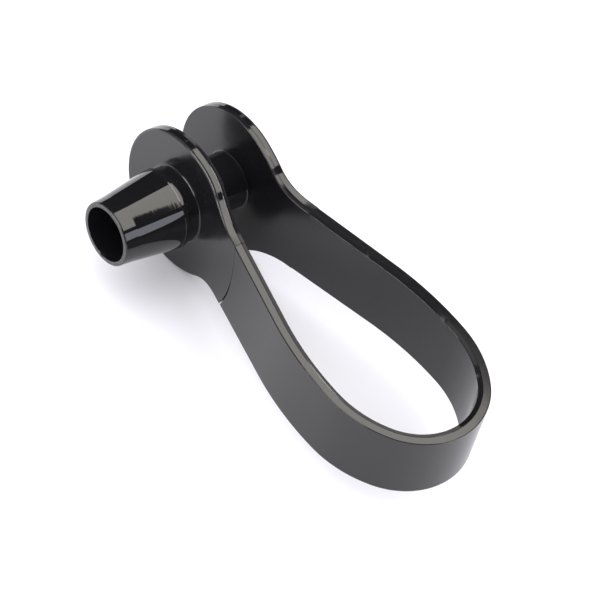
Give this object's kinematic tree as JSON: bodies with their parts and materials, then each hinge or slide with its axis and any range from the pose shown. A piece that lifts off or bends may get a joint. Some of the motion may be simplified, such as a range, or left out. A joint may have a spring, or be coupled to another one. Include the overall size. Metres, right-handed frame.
{
  "type": "fence insulator",
  "caption": "Moulded strap insulator: a teardrop loop whose two round eyes are bridged by a barrel that plugs into a hollow tapered spigot.",
  "frame": {"origin": "on the common axis of the two eyes, midway across the gap between them", "axes": "+Y along the axis of the eyes from the spigot to the rear eye, +X from that axis to the closed end of the loop, +Z across the width of the strap"},
  "size_m": [0.1042, 0.0478, 0.035],
  "materials": {
    "moulded_black": "smooth injection-moulded black, glossy on the eyes and spigot"
  },
  "bodies": {
    "body": {"spigot": "moulded_black", "collar": "moulded_black", "front_eye": "moulded_black", "strap": "moulded_black"},
    "rear": {"rear_eye": "moulded_black", "barrel": "moulded_black"}
  },
  "joints": [
    {"name": "rear_eye_slide", "type": "slide", "parent": "body", "child": "rear", "axis": [0, 1, 0], "range_m": [0, 0.016], "stiffness_N_per_m": 400, "deforming": ["strap"]}
  ]
}
